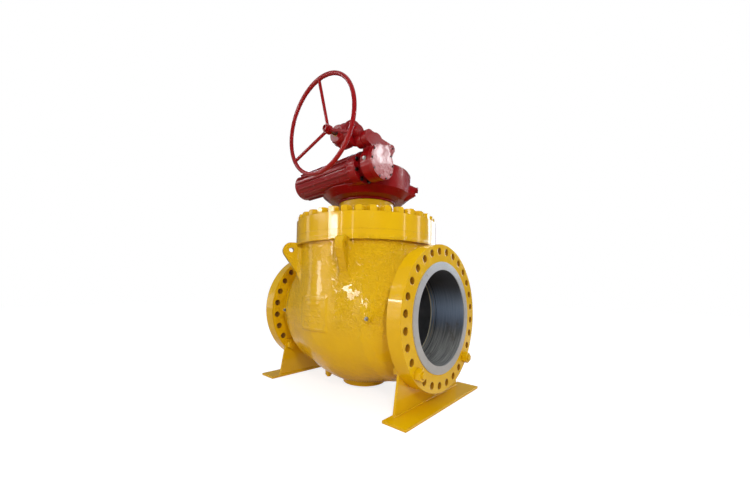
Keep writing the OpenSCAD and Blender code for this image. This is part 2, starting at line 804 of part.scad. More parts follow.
module spur_cover() {
    color(cast_red) difference() {
        union() {
            along_x(spur_front) linear_extrude(cover_plate) spur_outline(13);
            along_x(spur_front + 1, worm_y, worm_z)
                cylinder(r = cover_r, h = cover_face - spur_front - 1, $fn = 96);
        }
        along_x(spur_front - 1, worm_y, worm_z) cylinder(r = 116, h = 29, $fn = 96);
        along_x(spur_front - 1, second_y, second_z) cylinder(r = 18.05, h = 8, $fn = 64);
        along_x(spur_front - 1, idler_y, idler_z) cylinder(r = 18, h = 8, $fn = 48);
        cover_screw_places(spur_front - 1) cylinder(r = 5.5, h = 60, $fn = 24);
    }
}

module spur_cover_screws() {
    color(steel) {
        for (i = [0, 1, 2, 3, 6, 7, 8, 9])
            along_x(cover_face, worm_y, worm_z) rotate(cover_first + i * 36) translate([cover_pcr, 0, 0])
                hex_bolt(5, 62, 14, 6);
        along_x(spur_front + cover_plate, lobe_y, lobe_z) hex_bolt(5, 36, 14, 6);
    }
}

module idler_gear() {
    color(steel) along_x(gear_x0, idler_y, idler_z) difference() {
        linear_extrude(gear_x1 - gear_x0) gear_2d(teeth_idler, idler_r, 4, 6, 0.38, phase_idler);
        translate([0, 0, -1]) cylinder(r = 18.05, h = 100, $fn = 64);
    }
}

module idler_pin() {
    color(steel) along_x(373, idler_y, idler_z) cylinder(r = 18, h = 79, $fn = 48);
}

// shaft with the small spur pinion that drives the idler and the wheel of the first pair
module second_shaft() {
    color(steel) {
        along_x(gear_x0, second_y, second_z) linear_extrude(gear_x1 - gear_x0)
            gear_2d(teeth_pinion, pinion_r, 4, 6, 0.38, phase_pinion);
        along_x(pair_x0, second_y, second_z) linear_extrude(pair_x1 - pair_x0)
            gear_2d(teeth_second, second_r, 3.2, 4.8, 0.38, dir_sf);
        along_x(347, second_y, second_z) cylinder(r = 17.95, h = 105, $fn = 64);
    }
}

// shaft that carries the driven bevel gear and the first pinion
module first_shaft() {
    color(steel) {
        along_x(pair_x0, first_y, first_z) linear_extrude(pair_x1 - pair_x0)
            gear_2d(teeth_first, first_r, 3.2, 4.8, 0.36, phase_first);
        along_x(bevel_end + 7, first_y, first_z)
            cylinder(r = 17.95, h = pair_x0 - bevel_end - 6, $fn = 64);
    }
}

// ---- bevel input ----

module bevel_wheel(phase) {
    difference() {
        union() {
            linear_extrude(height = 16, scale = (bevel_d - 16) / bevel_d)
                gear_2d(bevel_teeth, bevel_d, 3, 4.5, 0.34, phase);
            translate([0, 0, -8]) cylinder(r = 34, h = 8.01, $fn = 64);
        }
        translate([0, 0, -40]) cylinder(r = 17.95, h = 100, $fn = 64);
    }
}

module driven_bevel_gear() {
    color(steel) along_x(hand_x - bevel_d, first_y, first_z) bevel_wheel(-90);
}

module driving_bevel_gear() {
    color(steel) along_y(hand_x, first_y - bevel_d, first_z) bevel_wheel(180 + 9);
}

module bevel_case() {
    color(cast_red) difference() {
        union() {
            along_x(bevel_end, first_y, drum_z) cylinder(r1 = 56, r2 = 94, h = 56, $fn = 96);
            along_x(bevel_end + 55.9, first_y, drum_z) cylinder(r = 94, h = 66, $fn = 96);
            along_x(bevel_end + 121.8, first_y, drum_z) cylinder(r1 = 94, r2 = 84, h = 30, $fn = 96);
            along_x(bevel_end + 150, first_y, drum_z)
                cylinder(r = 84, h = spur_back - bevel_end - 150, $fn = 96);
            along_x(318, first_y, first_z) cylinder(r = 98, h = spur_back - 318, $fn = 96);
            along_y(hand_x, port_y, first_z) cylinder(r1 = 66, r2 = 74, h = 14, $fn = 96);
            along_y(hand_x, port_y + 13.9, first_z) cylinder(r = 74, h = 70, $fn = 96);
        }
        along_x(157, first_y, first_z) cylinder(r = 66, h = 119, $fn = 96);
        along_x(bevel_end + 6, first_y, first_z) cylinder(r = 24, h = 40, $fn = 64);
        along_x(270, first_y, first_z) cylinder(r = 24, h = 100, $fn = 64);
        along_y(hand_x, port_y - 10, first_z) cylinder(r = 24, h = 90, $fn = 64);
        along_y(hand_x, first_y - 70, first_z) cylinder(r = 60, h = 60, $fn = 64);
    }
}

module shaft_bushings() {
    color(bronze) {
        along_x(bevel_end + 6, first_y, first_z) ring(24, 18, 13);
        along_x(276, first_y, first_z) ring(24, 18, 60);
        along_x(346, second_y, second_z) ring(22, 18, 8);
        along_y(hand_x, port_y, first_z) ring(24, 18, 20);
    }
}

module handwheel_shaft() {
    color(steel) along_y(hand_x, -716, first_z)
        cylinder(r = 17.95, h = first_y - bevel_d + 16 + 716, $fn = 64);
}

module handwheel() {
    color(cast_red) {
        difference() {
            along_y(hand_x, hub_y - 18, first_z) cylinder(r = 34, h = 40, $fn = 64);
            along_y(hand_x, -800, first_z) cylinder(r = 17.95, h = 200, $fn = 64);
        }
        along_y(hand_x, rim_y, first_z) rotate_extrude($fn = 120)
            translate([rim_r, 0]) circle(r = rim_tube_r, $fn = 48);
        for (i = [0 : 2]) along_y(hand_x, hub_y, first_z) rotate(i * 120 - 93)
            translate([24, 0, 0]) rotate([0, 90 + atan((hub_y - rim_y) / (rim_r - 24)), 0])
                cylinder(r = spoke_r, h = norm([rim_r - 24, hub_y - rim_y]), $fn = 48);
    }
}

module handwheel_nut() {
    color(steel) along_y(hand_x, hub_y - 18, first_z) mirror([0, 0, 1]) hex_nut(46, 17.95, 16);
}

body();
bonnet();
bonnet_gasket();
bonnet_studs();
bonnet_nuts();
front_support();
rear_support();
support_studs();
support_nuts();
sealant_fittings();
drain_plug();
lower_trunnion();
trunnion_screws();
lower_thrust_washer();
lower_bearing();
upper_bearing();
ball();
stem();
stem_keys();
stem_thrust_ring();
stem_packing();
packing_gland();
gland_screws();
front_seat_ring();
front_seat_insert();
front_seat_springs();
rear_seat_ring();
rear_seat_insert();
rear_seat_springs();
gear_adapter();
adapter_screws();
gear_case();
gear_case_screws();
gear_case_cover();
gear_cover_screws();
worm_wheel();
wheel_key();
wheel_bushings();
position_indicator();
travel_stop_pins();
worm_shaft();
worm_bearings();
worm_end_cap();
end_cap_screws();
main_spur_gear();
spur_case();
spur_case_bolts();
spur_cover();
spur_cover_screws();
idler_gear();
idler_pin();
second_shaft();
first_shaft();
bevel_case();
driven_bevel_gear();
handwheel_shaft();
driving_bevel_gear();
shaft_bushings();
handwheel();
handwheel_nut();
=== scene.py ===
import math

import bmesh
import bpy
import numpy as np
from mathutils import Matrix, Vector, noise


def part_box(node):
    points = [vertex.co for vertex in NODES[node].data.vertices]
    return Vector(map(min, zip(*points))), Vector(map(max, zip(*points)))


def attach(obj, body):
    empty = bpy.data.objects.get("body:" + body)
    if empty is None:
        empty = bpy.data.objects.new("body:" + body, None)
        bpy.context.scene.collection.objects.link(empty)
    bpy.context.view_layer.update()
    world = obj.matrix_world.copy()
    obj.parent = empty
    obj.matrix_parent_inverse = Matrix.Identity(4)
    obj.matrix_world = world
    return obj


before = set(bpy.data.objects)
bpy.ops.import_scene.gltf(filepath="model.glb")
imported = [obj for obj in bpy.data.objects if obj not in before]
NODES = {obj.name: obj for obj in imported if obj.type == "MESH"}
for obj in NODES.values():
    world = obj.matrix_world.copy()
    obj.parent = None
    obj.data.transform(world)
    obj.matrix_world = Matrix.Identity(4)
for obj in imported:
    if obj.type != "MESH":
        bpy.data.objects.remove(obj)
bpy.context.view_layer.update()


# ---------------------------------------------------------------- node helpers

SHADER_SAMPLES = 8


class Graph:
    """Small wrapper that makes shader nodes short to write."""

    def __init__(self, name):
        self.mat = bpy.data.materials.new(name)
        self.mat.use_nodes = True
        self.tree = self.mat.node_tree
        self.tree.nodes.clear()
        self.out = self.tree.nodes.new("ShaderNodeOutputMaterial")
        self.bsdf = self.tree.nodes.new("ShaderNodeBsdfPrincipled")
        self.link(self.bsdf.outputs[0], self.out.inputs[0])
        geometry = self.tree.nodes.new("ShaderNodeTexCoord")
        self.pos = geometry.outputs["Object"]

    def link(self, a, b):
        self.tree.links.new(a, b)

    def feed(self, value, socket):
        if hasattr(value, "links"):
            self.link(value, socket)
        elif isinstance(value, (tuple, list)) and len(value) == 3 and socket.type == "RGBA":
            socket.default_value = (*value, 1.0)
        else:
            socket.default_value = value

    def math(self, op, a, b=0.0):
        n = self.tree.nodes.new("ShaderNodeMath")
        n.operation = op
        self.feed(a, n.inputs[0])
        self.feed(b, n.inputs[1])
        return n.outputs[0]

    def vec(self, op, a, b=(0.0, 0.0, 0.0)):
        n = self.tree.nodes.new("ShaderNodeVectorMath")
        n.operation = op
        self.feed(a, n.inputs[0])
        self.feed(b, n.inputs[1])
        return n.outputs["Value"] if op in ("DOT_PRODUCT", "LENGTH") else n.outputs[0]

    def noise(self, scale, detail=3.0, rough=0.5, vector=None, distortion=0.0):
        n = self.tree.nodes.new("ShaderNodeTexNoise")
        n.inputs["Scale"].default_value = scale
        n.inputs["Detail"].default_value = detail
        n.inputs["Roughness"].default_value = rough
        n.inputs["Distortion"].default_value = distortion
        self.link(vector or self.pos, n.inputs["Vector"])
        return n.outputs["Fac"]

    def remap(self, value, a, b, c=0.0, d=1.0):
        """Smooth step from c at a to d at b."""
        n = self.tree.nodes.new("ShaderNodeMapRange")
        n.interpolation_type = "SMOOTHSTEP"
        self.feed(value, n.inputs["Value"])
        for key, number in (("From Min", a), ("From Max", b), ("To Min", c), ("To Max", d)):
            self.feed(number, n.inputs[key])
        return n.outputs[0]

    def mix(self, fac, a, b):
        n = self.tree.nodes.new("ShaderNodeMix")
        n.data_type = "RGBA"
        self.feed(fac, n.inputs["Factor"])
        self.feed(a, n.inputs[6])
        self.feed(b, n.inputs[7])
        return n.outputs[2]

    def lerp(self, fac, a, b):
        n = self.tree.nodes.new("ShaderNodeMix")
        n.data_type = "FLOAT"
        self.feed(fac, n.inputs["Factor"])
        self.feed(a, n.inputs[2])
        self.feed(b, n.inputs[3])
        return n.outputs[0]

    def xyz(self, vector=None):
        n = self.tree.nodes.new("ShaderNodeSeparateXYZ")
        self.link(vector or self.pos, n.inputs[0])
        return n.outputs

    def round_edges(self, radius):
        n = self.tree.nodes.new("ShaderNodeBevel")
        n.samples = SHADER_SAMPLES
        self.feed(radius, n.inputs["Radius"])
        return n.outputs[0]

    def crevice(self, distance):
        n = self.tree.nodes.new("ShaderNodeAmbientOcclusion")
        n.samples = SHADER_SAMPLES
        n.inputs["Distance"].default_value = distance
        return n.outputs["AO"]

    def true_normal(self):
        n = self.tree.nodes.new("ShaderNodeNewGeometry")
        return n.outputs["Normal"]

    def bump(self, height, depth, normal=None):
        n = self.tree.nodes.new("ShaderNodeBump")
        n.inputs["Strength"].default_value = 1.0
        n.inputs["Distance"].default_value = depth
        self.link(height, n.inputs["Height"])
        if normal is not None:
            self.link(normal, n.inputs["Normal"])
        return n.outputs[0]

    def finish(self, **inputs):
        for key, value in inputs.items():
            self.feed(value, self.bsdf.inputs[key.replace("_", " ")])
        return self.mat


def srgb(r, g, b):
    return tuple(((c / 255 + 0.055) / 1.055) ** 2.4 if c > 10.3 else c / 255 / 12.92 for c in (r, g, b))


# ---------------------------------------------------------------- finishes

def paint(name, base, shade, shade_and_wear, cast, edge, gloss, wave_scale=26.0, mask=None, peel=0.00006,
          shade_in_corners=0.5, crumble=None):
    """Thick gloss paint over a casting: cast waviness, orange peel, thin paint on edges, painted shade in
    corners.
    """
    g = Graph(name)
    fine = g.noise(7.0, 4.0, 0.6)
    blotch = g.noise(1.7, 3.0, 0.5)
    hue = g.remap(g.math("ADD", g.math("MULTIPLY", fine, 0.4), g.math("MULTIPLY", blotch, 0.6)), 0.35, 0.65)
    colour = g.mix(g.math("MULTIPLY", hue, 0.55), base, shade)
    # painted shade: where ambient occlusion finds a corner, the paint is darkened towards the shade-and-wear
    # colour
    corner = g.remap(g.crevice(0.06), 0.25, 0.85, 1.0, 0.0)
    colour = g.mix(g.math("MULTIPLY", corner, shade_in_corners), colour, shade_and_wear)
    soft = g.round_edges(edge)
    flat = g.true_normal()
    edges = g.remap(g.vec("DOT_PRODUCT", soft, flat), 0.995, 0.93)
    speck = g.remap(g.noise(160.0, 3.0, 0.7), 0.60, 0.68)
    thin = g.math("MULTIPLY", edges, g.remap(g.noise(30.0, 2.0), 0.45, 0.7))
    colour = g.mix(g.math("MULTIPLY", thin, 0.25), colour, shade_and_wear)
    colour = g.mix(g.math("MULTIPLY", g.math("MULTIPLY", edges, speck), 0.35), colour, (0.12, 0.10, 0.09))
    dust = g.remap(g.noise(11.0, 6.0, 0.65), 0.5, 0.8)
    rough = g.math("ADD", gloss, g.math("MULTIPLY", dust, 0.12))
    waves = g.noise(wave_scale, 2.0, 0.5, distortion=0.4)
    lumps = g.noise(wave_scale * 0.28, 2.0, 0.5)
    crumbs = g.noise(wave_scale * 2.6, 3.0, 0.6, distortion=0.8)
    rough_patch = g.remap(g.noise(3.1, 2.0), 0.40, 0.62, 0.35, 1.0)
    wave_size = 0.55
    if crumble:
        zone = crumble(g)
        rough_patch = g.math("MAXIMUM", rough_patch, zone)
        wave_size = g.math("ADD", 0.6, zone)
    height = g.math("ADD", g.math("MULTIPLY", waves, wave_size), lumps)
    height = g.math("ADD", height, g.math("MULTIPLY", crumbs, g.math("MULTIPLY", rough_patch, 0.62)))
    if crumble:
        pebbles = g.remap(g.noise(wave_scale * 2.3, 2.0, 0.5, distortion=0.6), 0.48, 0.66)
        height = g.math("ADD", height, g.math("MULTIPLY", pebbles, g.math("MULTIPLY", zone, 0.42)))
    amount = mask(g) if mask else 1.0
    height = g.math("MULTIPLY", height, amount)
    normal = g.bump(height, cast, soft)
    normal = g.bump(g.noise(420.0, 2.0, 0.5), peel, normal)
    return g, colour, rough, normal


def cast_zone(g):
    """1 on the raw cast neck and barrel, less on the turned rims of the flanges and the bonnet."""
    x, y, z = g.xyz()
    ax = g.math("ABSOLUTE", x)
    r = g.math("SQRT", g.math("ADD", g.math("MULTIPLY", y, y), g.math("MULTIPLY", z, z)))
    rim = g.math("MULTIPLY", g.remap(ax, 0.695, 0.71), g.remap(r, 0.535, 0.555))
    face = g.remap(ax, 0.812, 0.817)
    top = g.remap(z, 0.60, 0.63)
    smooth = g.math("MAXIMUM", g.math("MAXIMUM", rim, face), top)
    return g.lerp(smooth, 1.0, 0.16)


def front_neck(g):
    """The roughest part of the casting: the shoulder and the neck on the handwheel side."""
    x, y, z = g.xyz()
    near = g.math("MULTIPLY", g.remap(x, 0.16, 0.26), g.remap(y, -0.10, -0.25))
    left = g.math("MULTIPLY", g.remap(x, 0.05, -0.05), g.remap(y, -0.30, -0.45))
    zone = g.math("MULTIPLY", g.math("MAXIMUM", near, left), g.remap(z, -0.22, -0.02))
    return g.math("MULTIPLY", zone, 1.4)


YELLOW = srgb(231, 184, 8)
YELLOW_DEEP = srgb(223, 171, 6)
# painted shade colour for the yellow paint's corners, also the colour of its paint worn thin on edges
YELLOW_SHADE_AND_WEAR = srgb(172, 98, 12)
RED = srgb(150, 11, 17)
RED_DEEP = srgb(136, 10, 16)
# painted shade colour for the red paint's corners, also the colour of its paint worn thin on edges
RED_SHADE_AND_WEAR = srgb(60, 12, 14)
SHOP_DUST = srgb(146, 104, 52)
PAINT_SPECULAR = 0.16
YELLOW_GLOSS = 0.15
# how strongly painted shade darkens the corners of the yellow paint
YELLOW_CORNER_SHADE = 0.25
YELLOW_COAT = 0.5
YELLOW_COAT_ROUGH = 0.03
RED_GLOSS = 0.24
RED_WAVES = 34.0
# where the spur cover steps from its arm up to its round lid
LID_STEP_X = (0.470, 0.482)

# the body's own measures, in metres, that tell paint from bare metal
RAISED_FACE_X = (0.8186, 0.8190)
RAISED_FACE_R = (0.4305, 0.4290)
BORE_R = (0.3765, 0.3735)
CAVITY_R = (0.552, 0.549)
POCKET_R = (0.446, 0.444)
POCKET_X = (0.506, 0.504)
RING_PITCH = 0.0016
BOLT_HOLES_R = (0.474, 0.478, 0.541, 0.545)
FLANGE_INNER_X = (0.7035, 0.705)


def body_finish():
    """Yellow paint with machined raised faces and bore."""
    g, colour, rough, normal = paint(
        "yellow_paint_cast", YELLOW, YELLOW_DEEP, YELLOW_SHADE_AND_WEAR, 0.0050, 0.010, YELLOW_GLOSS, mask=cast_zone,
        shade_in_corners=YELLOW_CORNER_SHADE, crumble=front_neck
    )
    x, y, z = g.xyz()
    ax = g.math("ABSOLUTE", x)
    r = g.math("SQRT", g.math("ADD", g.math("MULTIPLY", y, y), g.math("MULTIPLY", z, z)))
    edge_noise = g.math("MULTIPLY", g.math("SUBTRACT", g.noise(60.0, 3.0), 0.5), 0.004)
    rr = g.math("ADD", r, edge_noise)
    raised = g.math("MULTIPLY", g.remap(ax, *RAISED_FACE_X), g.remap(rr, *RAISED_FACE_R))
    bore = g.remap(r, *BORE_R)
    rxy = g.math("SQRT", g.math("ADD", g.math("MULTIPLY", x, x), g.math("MULTIPLY", y, y)))
    ball_room = g.remap(g.vec("LENGTH", g.pos), *CAVITY_R)
    shaft_room = g.math("MULTIPLY", g.remap(rxy, *CAVITY_R), g.remap(z, 0.0, 0.01))
    pocket = g.math("MULTIPLY", g.remap(r, *POCKET_R), g.remap(ax, *POCKET_X))
    inside_seat = g.math("MAXIMUM", g.math("MAXIMUM", ball_room, shaft_room), pocket)
    rings = g.math("SINE", g.math("MULTIPLY", r, 2 * math.pi / RING_PITCH))
    face_shade = g.noise(9.0, 4.0, 0.6)
    face_colour = g.mix(face_shade, srgb(172, 174, 178), srgb(200, 202, 206))
    face_colour = g.mix(g.remap(g.noise(26.0, 4.0, 0.7), 0.58, 0.75), face_colour, srgb(150, 142, 134))
    angle = g.math("ARCTAN2", z, y)
    around = g.tree.nodes.new("ShaderNodeCombineXYZ")
    g.feed(g.math("MULTIPLY", angle, 1.3), around.inputs[0])
    g.feed(g.math("MULTIPLY", x, 120.0), around.inputs[1])
    streak = g.noise(1.0, 4.0, 0.6, vector=around.outputs[0])
    bore_colour = g.mix(streak, srgb(84, 85, 89), srgb(140, 142, 146))
    # painted light in the bore: the whole bore darkened as painted shade, turned steel brighter low down as a
    # painted highlight, and a bluish band at mid height on the far wall as a painted reflection
    low = g.remap(z, -0.02, -0.30)
    bore_colour = g.vec("MULTIPLY", bore_colour, (0.42, 0.43, 0.48))
    shine = g.remap(streak, 0.35, 0.75)
    bright = g.mix(shine, (0.24, 0.24, 0.23), (0.66, 0.66, 0.62))
    bore_colour = g.mix(g.math("MULTIPLY", low, 0.85), bore_colour, bright)
    reflection_band = g.math("MULTIPLY", g.remap(g.math("ABSOLUTE", g.math("SUBTRACT", z, 0.04)), 0.22, 0.0),
                  g.remap(y, 0.05, 0.25))
    reflected_blue = g.mix(streak, (0.15, 0.23, 0.36), (0.55, 0.68, 0.92))
    bore_colour = g.mix(g.math("MULTIPLY", reflection_band, 0.7), bore_colour, reflected_blue)
    bore_colour = g.mix(g.remap(g.noise(5.0, 5.0, 0.6), 0.6, 0.8), bore_colour, srgb(92, 80, 66))
    line = g.math("MULTIPLY", g.remap(ax, 0.5305, 0.5315), g.remap(ax, 0.5350, 0.5340))
    bore_colour = g.mix(line, bore_colour, srgb(176, 156, 118))
    groove = g.math("MULTIPLY", g.remap(ax, 0.5520, 0.5530), g.remap(ax, 0.5580, 0.5570))
    bore_colour = g.mix(groove, bore_colour, (0.012, 0.012, 0.014))
    # painted highlight: a pale line where the seat's edge catches the light
    seat_edge_glint = g.math("MULTIPLY", g.remap(ax, 0.4975, 0.4990), g.remap(ax, 0.5085, 0.5070))
    bore_colour = g.mix(seat_edge_glint, bore_colour, srgb(226, 214, 184))
    normal_x = g.math("ABSOLUTE", g.xyz(g.true_normal())[0])
    inner0, inner1, outer0, outer1 = BOLT_HOLES_R
    hole = g.math("MULTIPLY", g.math("MULTIPLY", g.remap(r, inner0, inner1), g.remap(r, outer1, outer0)),
                  g.math("MULTIPLY", g.remap(ax, *FLANGE_INNER_X), g.remap(normal_x, 0.6, 0.4)))
    metal = g.math("MAXIMUM", raised, g.math("MAXIMUM", bore, inside_seat))
    # painted shade: the bolt holes' walls are darkened to brown
    colour = g.mix(g.math("MULTIPLY", hole, 0.75), colour, srgb(156, 94, 22))
    rough = g.lerp(hole, rough, 0.55)
    metal_colour = g.mix(raised, bore_colour, face_colour)
    colour = g.mix(metal, colour, metal_colour)
    metal_rough = g.lerp(raised, g.lerp(streak, 0.34, 0.48), 0.42)
    rough = g.lerp(metal, rough, metal_rough)
    turned = g.bump(g.math("ADD", rings, g.math("MULTIPLY", face_shade, 0.5)), 0.00006)
    bored = g.bump(streak, 0.0006)
    shiny = g.tree.nodes.new("ShaderNodeMix")
    shiny.data_type = "VECTOR"
    g.feed(raised, shiny.inputs["Factor"])
    g.link(bored, shiny.inputs[4])
    g.link(turned, shiny.inputs[5])
    blend = g.tree.nodes.new("ShaderNodeMix")
    blend.data_type = "VECTOR"
    g.feed(metal, blend.inputs["Factor"])
    g.link(normal, blend.inputs[4])
    g.link(shiny.outputs[1], blend.inputs[5])
    paint_only = g.math("SUBTRACT", 1.0, g.math("MAXIMUM", metal, hole))
    return g.finish(Base_Color=colour, Roughness=rough, Normal=blend.outputs[1],
                    Metallic=g.math("MULTIPLY", metal, 0.45),
                    Specular_IOR_Level=g.lerp(metal, PAINT_SPECULAR, 0.4),
                    Coat_Weight=g.math("MULTIPLY", paint_only, YELLOW_COAT),
                    Coat_Roughness=YELLOW_COAT_ROUGH)


def yellow_finish(name, cast, edge, crumble=None):
    g, colour, rough, normal = paint(name, YELLOW, YELLOW_DEEP, YELLOW_SHADE_AND_WEAR, cast, edge, YELLOW_GLOSS,
                                     shade_in_corners=YELLOW_CORNER_SHADE, crumble=crumble)
    return g.finish(Base_Color=colour, Roughness=rough, Normal=normal, Specular_IOR_Level=PAINT_SPECULAR,
                    Coat_Weight=YELLOW_COAT, Coat_Roughness=YELLOW_COAT_ROUGH)


def dusty_top_finish():
    """The bonnet's paint, with shop dust lying on its flat top."""
    g, colour, rough, normal = paint("yellow_paint_dusty", YELLOW, YELLOW_DEEP, YELLOW_SHADE_AND_WEAR,
                                     0.0007, 0.006, YELLOW_GLOSS, shade_in_corners=YELLOW_CORNER_SHADE)
    upward = g.remap(g.xyz(g.true_normal())[2], 0.9, 0.98)
    lying = g.math("MULTIPLY", upward, g.remap(g.noise(5.0, 5.0), 0.2, 0.6))
    colour = g.mix(g.math("MULTIPLY", lying, 0.85), colour, SHOP_DUST)
    return g.finish(Base_Color=colour, Roughness=g.lerp(lying, rough, 0.6), Normal=normal,
                    Specular_IOR_Level=PAINT_SPECULAR, Coat_Weight=YELLOW_COAT,
                    Coat_Roughness=g.lerp(lying, YELLOW_COAT_ROUGH, 0.4))


def cover_finish():
    """The spur train's cover: a smooth round lid on a rough cast arm."""
    g, colour, rough, normal = paint("red_paint_cover", RED, RED_DEEP, RED_SHADE_AND_WEAR, 0.0044, 0.003,
                                     RED_GLOSS, RED_WAVES,
                                     mask=lambda n: n.remap(n.xyz()[0], *LID_STEP_X, 1.0, 0.65))
    lid = g.remap(g.xyz()[0], *LID_STEP_X)
    mottle = g.remap(g.noise(17.0, 4.0, 0.6, distortion=0.5), 0.42, 0.60)
    return g.finish(Base_Color=colour, Roughness=g.lerp(lid, 0.34, rough), Normal=normal,
                    Specular_IOR_Level=g.lerp(lid, 0.2, 0.3),
                    Coat_Weight=g.lerp(mottle, 0.06, 0.36), Coat_Roughness=0.05)


def red_finish(name, cast, edge, peel=0.00005):
    g, colour, rough, normal = paint(name, RED, RED_DEEP, RED_SHADE_AND_WEAR, cast, edge, RED_GLOSS, RED_WAVES,
                                     peel=peel)
    return g.finish(Base_Color=colour, Roughness=rough, Normal=normal, Specular_IOR_Level=PAINT_SPECULAR,
                    Coat_Weight=0.16, Coat_Roughness=0.08)


def metal_finish(name, light, dark, rough, metal=1.0):
    g = Graph(name)
    tone = g.noise(14.0, 4.0, 0.6)
    colour = g.mix(tone, dark, light)
    stain = g.remap(g.noise(40.0, 5.0, 0.65), 0.55, 0.75)
    colour = g.mix(g.math("MULTIPLY", stain, 0.4), colour, srgb(84, 70, 58))
    # painted shade: where ambient occlusion finds a corner, the metal is darkened to near black
    corner = g.remap(g.crevice(0.02), 0.3, 0.9, 1.0, 0.0)
    colour = g.mix(g.math("MULTIPLY", corner, 0.6), colour, (0.02, 0.018, 0.016))
    soft = g.round_edges(0.0012)
    fine = g.noise(720.0, 2.0, 0.5)
    normal = g.bump(fine, 0.00008, soft)
    return g.finish(Base_Color=colour, Metallic=metal, Normal=normal,
                    Roughness=g.math("ADD", rough, g.math("MULTIPLY", tone, 0.15)))


def painted_end_finish():
    """Bright shaft whose outer end was painted with the handwheel."""
    g, colour, rough, normal = paint("shaft_painted_end", RED, RED_DEEP, RED_SHADE_AND_WEAR, 0.0002, 0.0015,
                                     RED_GLOSS, RED_WAVES)
    ragged = g.math("ADD", g.xyz()[1], g.math("MULTIPLY", g.noise(70.0, 3.0), 0.008))
    bare = g.remap(ragged, -0.668, -0.664)
    colour = g.mix(bare, colour, g.mix(g.noise(30.0, 4.0), srgb(150, 146, 140), srgb(110, 106, 98)))
    return g.finish(Base_Color=colour, Roughness=g.lerp(bare, rough, 0.34), Normal=normal, Metallic=bare)


def soft_finish(name, base, shade, rough):
    g = Graph(name)
    colour = g.mix(g.noise(60.0, 4.0, 0.6), base, shade)
    normal = g.bump(g.noise(900.0, 2.0), 0.00005, g.round_edges(0.0008))
    return g.finish(Base_Color=colour, Roughness=rough, Normal=normal)


BODY = body_finish()
YELLOW_CAST = yellow_finish("yellow_paint_rough", 0.0062, 0.010, front_neck)
YELLOW_TURNED = yellow_finish("yellow_paint_turned", 0.0007, 0.006)
YELLOW_PLATE = yellow_finish("yellow_paint_plate", 0.0006, 0.004)
YELLOW_TOP = dusty_top_finish()
YELLOW_NUT = yellow_finish("yellow_paint_nut", 0.0005, 0.005)
RED_CAST = red_finish("red_paint_cast", 0.0022, 0.008)
RED_SMOOTH = red_finish("red_paint_smooth", 0.0004, 0.003)
RED_COVER = cover_finish()
RED_WHEEL = red_finish("red_paint_wheel", 0.0002, 0.003, peel=0.00001)
STEEL = metal_finish("machined_steel_plain", srgb(186, 186, 184), srgb(140, 140, 142), 0.26)
DARK_STEEL = metal_finish("blackened_steel", srgb(70, 68, 66), srgb(40, 40, 42), 0.38)
BORE_STEEL = metal_finish("bored_steel", srgb(138, 139, 142), srgb(96, 97, 100), 0.26, metal=0.85)
BRONZE = metal_finish("bronze_plain", srgb(196, 152, 92), srgb(160, 116, 64), 0.3)
RUBBER = soft_finish("rubber_plain", srgb(30, 30, 31), srgb(20, 20, 20), 0.6)
POLYMER = soft_finish("polymer_plain", srgb(226, 222, 206), srgb(206, 200, 180), 0.4)
SHAFT_END = painted_end_finish()

FINISH = {
    "handwheel_shaft": SHAFT_END,
    "ball": BORE_STEEL,
    "front_seat_ring": BORE_STEEL,
    "rear_seat_ring": BORE_STEEL,
    "body": BODY,
    "bonnet": YELLOW_TOP,
    "bonnet_nuts": YELLOW_NUT,
    "bonnet_studs": YELLOW_NUT,
    "front_support": YELLOW_PLATE,
    "rear_support": YELLOW_PLATE,
    "support_nuts": YELLOW_NUT,
    "support_studs": YELLOW_NUT,
    "gear_adapter": YELLOW_TURNED,
    "lower_trunnion": YELLOW_TURNED,
    "drain_plug": YELLOW_NUT,
    "sealant_fittings": STEEL,
    "gear_case": RED_CAST,
    "gear_case_cover": RED_CAST,
    "spur_case": RED_CAST,
    "spur_cover": RED_COVER,
    "bevel_case": RED_CAST,
    "worm_end_cap": RED_SMOOTH,
    "position_indicator": RED_SMOOTH,
    "handwheel": RED_WHEEL,
    "handwheel_nut": RED_SMOOTH,
    "travel_stop_pins": RED_SMOOTH,
    "spur_cover_screws": DARK_STEEL,
    "gear_case_screws": DARK_STEEL,
    "end_cap_screws": RED_SMOOTH,
    "gear_cover_screws": RED_SMOOTH,
    "spur_case_bolts": DARK_STEEL,
    "bonnet_gasket": RUBBER,
    "stem_packing": RUBBER,
    "front_seat_insert": POLYMER,
    "rear_seat_insert": POLYMER,
    "lower_bearing": BRONZE,
    "upper_bearing": BRONZE,
    "lower_thrust_washer": BRONZE,
    "stem_thrust_ring": BRONZE,
    "wheel_bushings": BRONZE,
    "shaft_bushings": BRONZE,
    "worm_wheel": BRONZE,
}

for name, obj in NODES.items():
    obj.data.materials.clear()
    obj.data.materials.append(FINISH.get(name, STEEL))
    for poly in obj.data.polygons:
        poly.use_smooth = True
    obj.data.set_sharp_from_angle(angle=math.radians(32))


def new_piece(name, verts, faces, material, body):
    mesh = bpy.data.meshes.new(name)
    mesh.from_pydata(verts, [], faces)
    mesh.validate()
    obj = bpy.data.objects.new(name, mesh)
    bpy.context.scene.collection.objects.link(obj)
    mesh.materials.append(material)
    for poly in mesh.polygons:
        poly.use_smooth = True
    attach(obj, body)
    return obj


# ---------------------------------------------------------------- cast skin of the body
# The casting's outer surface, with the fillets and the waviness that a sand casting has. It lies
# a couple of millimetres outside the plain frame solid and ends inside the flanges.

